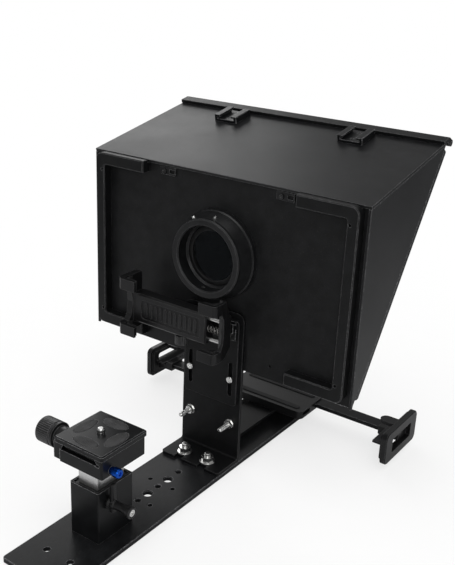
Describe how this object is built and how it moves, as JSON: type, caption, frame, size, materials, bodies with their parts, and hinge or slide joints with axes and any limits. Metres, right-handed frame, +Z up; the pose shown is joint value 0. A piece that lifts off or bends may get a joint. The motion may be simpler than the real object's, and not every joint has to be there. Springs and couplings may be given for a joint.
{
  "type": "teleprompter",
  "caption": "Camera teleprompter: a hooded beam-splitter box on a rail, with a lens ring, phone clamp, sprung tablet holder and quick-release camera clamp on a riser.",
  "frame": {"origin": "centre line of the base rail, on its underside, straight below the rear edge of the hood's top panel", "axes": "+Z up, +Y forward from the camera towards the talent, +X to the camera operator's right"},
  "size_m": [0.285, 0.4, 0.3009],
  "materials": {
    "black_powder_coat": "fine-textured black powder coat",
    "black_anodised": "black anodised, satin",
    "black_plastic": "glass-filled nylon, lightly textured",
    "black_rubber": "matt",
    "beam_splitter": "partly mirrored, neutral",
    "bright_steel": "zinc plated",
    "black_screw": "black oxide",
    "spring_steel": "drawn wire",
    "raw_aluminium": "mill finish",
    "blue_anodised": "blue anodised"
  },
  "bodies": {
    "base": {"base_rail": "black_anodised", "rail_bolts": "bright_steel", "bracket_washers": "bright_steel", "bracket_nuts": "bright_steel", "upright_bracket": "black_powder_coat", "riser_tube": "black_anodised", "riser_bushing": "black_plastic", "hood_top": "black_powder_coat", "hood_side_left": "black_powder_coat", "hood_side_right": "black_powder_coat", "hood_back": "black_powder_coat", "panel_frame_left": "black_powder_coat", "panel_frame_right": "black_powder_coat", "hood_latches": "black_powder_coat", "box_screws": "black_screw", "hood_front_trim": "black_powder_coat", "hinge_rod": "bright_steel", "lens_ring": "black_anodised", "ring_set_screws": "bright_steel", "lens_gasket": "black_rubber", "cold_shoes": "black_anodised", "arm_screws": "bright_steel", "tablet_arm": "black_powder_coat", "tablet_arm_bolts": "bright_steel", "tablet_arm_nuts": "bright_steel"},
    "glass_assembly": {"glass_frame": "black_anodised", "beam_splitter_glass": "beam_splitter", "glass_gasket": "black_rubber"},
    "riser": {"riser_post": "raw_aluminium", "qr_mount_screw": "bright_steel", "qr_base": "black_anodised", "qr_guide_rods": "bright_steel", "pin_spring": "spring_steel"},
    "lever": {"lock_lever": "black_plastic", "lever_screw": "bright_steel"},
    "clamp_side": {"qr_jaw": "black_anodised"},
    "knob": {"qr_knob": "black_plastic", "qr_knob_shaft": "bright_steel"},
    "camera_plate": {"qr_plate": "black_anodised", "qr_plate_pads": "black_rubber"},
    "camera_stud": {"camera_screw": "bright_steel"},
    "pin": {"safety_pin": "blue_anodised"},
    "phone_carrier": {"phone_arm": "black_powder_coat", "clamp_rail": "black_anodised", "rail_screws": "bright_steel"},
    "phone_clamp": {"clamp_body": "black_plastic", "clamp_pads_fixed": "black_rubber", "clamp_spring": "spring_steel"},
    "phone_jaw": {"clamp_jaw": "black_plastic", "clamp_pads_moving": "black_rubber", "clamp_rods": "bright_steel"},
    "phone_lock": {"clamp_lock_screw": "black_plastic"},
    "tablet_holder": {"holder_body": "black_plastic", "holder_pads": "black_rubber", "holder_spring": "spring_steel"},
    "tablet_lock": {"holder_screw": "black_plastic"},
    "tablet_arm_right": {"holder_slide_right": "black_anodised", "holder_clip_right": "black_plastic"},
    "tablet_arm_left": {"holder_slide_left": "black_anodised", "holder_clip_left": "black_plastic"}
  },
  "joints": [
    {"name": "glass_swing", "type": "hinge", "parent": "base", "child": "glass_assembly", "pos_m": [0, 0.14142, 0.2952], "axis": [1, 0, 0], "range_deg": [0, 70]},
    {"name": "riser_height", "type": "slide", "parent": "base", "child": "riser", "axis": [0, 0, 1], "range_m": [-0.0075, 0.014]},
    {"name": "riser_lock", "type": "hinge", "parent": "base", "child": "lever", "pos_m": [0.02, -0.153, 0.0375], "axis": [1, 0, 0], "range_deg": [-110, 60]},
    {"name": "plate_clamp", "type": "slide", "parent": "riser", "child": "clamp_side", "axis": [-1, 0, 0], "range_m": [0, 0.002]},
    {"name": "clamp_knob", "type": "hinge", "parent": "clamp_side", "child": "knob", "pos_m": [-0.04, -0.149, 0.0736], "axis": [-1, 0, 0], "range_deg": [0, 730]},
    {"name": "plate_slide", "type": "slide", "parent": "riser", "child": "camera_plate", "axis": [0, 1, 0], "range_m": [-0.018, 0.018]},
    {"name": "camera_screw_turn", "type": "hinge", "parent": "camera_plate", "child": "camera_stud", "pos_m": [0, -0.145, 0.0895], "axis": [0, 0, 1], "continuous": true},
    {"name": "safety_pin_press", "type": "slide", "parent": "riser", "child": "pin", "axis": [-1, 0, 0], "range_m": [0, 0.0023], "stiffness_N_per_m": 400, "deforming": ["pin_spring"]},
    {"name": "phone_height", "type": "slide", "parent": "base", "child": "phone_carrier", "axis": [0, 0, 1], "range_m": [-0.012, 0.008]},
    {"name": "phone_shift", "type": "slide", "parent": "phone_carrier", "child": "phone_clamp", "axis": [1, 0, 0], "range_m": [-0.01, 0.03]},
    {"name": "phone_jaw_slide", "type": "slide", "parent": "phone_clamp", "child": "phone_jaw", "axis": [1, 0, 0], "range_m": [-0.012, 0.02], "deforming": ["clamp_spring"]},
    {"name": "phone_lock_turn", "type": "hinge", "parent": "phone_clamp", "child": "phone_lock", "pos_m": [-0.024, -0.0154, 0.117], "axis": [0, 0, -1], "range_deg": [0, 360]},
    {"name": "tablet_depth", "type": "slide", "parent": "base", "child": "tablet_holder", "axis": [0, 1, 0], "range_m": [-0.018, 0.018]},
    {"name": "tablet_lock_turn", "type": "hinge", "parent": "tablet_holder", "child": "tablet_lock", "pos_m": [0, 0.11, 0.008], "axis": [0, 0, -1], "range_deg": [0, 360]},
    {"name": "tablet_grip_right", "type": "slide", "parent": "tablet_holder", "child": "tablet_arm_right", "axis": [1, 0, 0], "range_m": [-0.003, 0.02], "deforming": ["holder_spring"]},
    {"name": "tablet_grip_left", "type": "slide", "parent": "tablet_holder", "child": "tablet_arm_left", "axis": [-1, 0, 0], "range_m": [-0.003, 0.02], "deforming": ["holder_spring"]}
  ],
  "couplings": [
    {"joint": "clamp_knob", "follows": "plate_clamp", "rad_per_m": 6283.2}
  ]
}
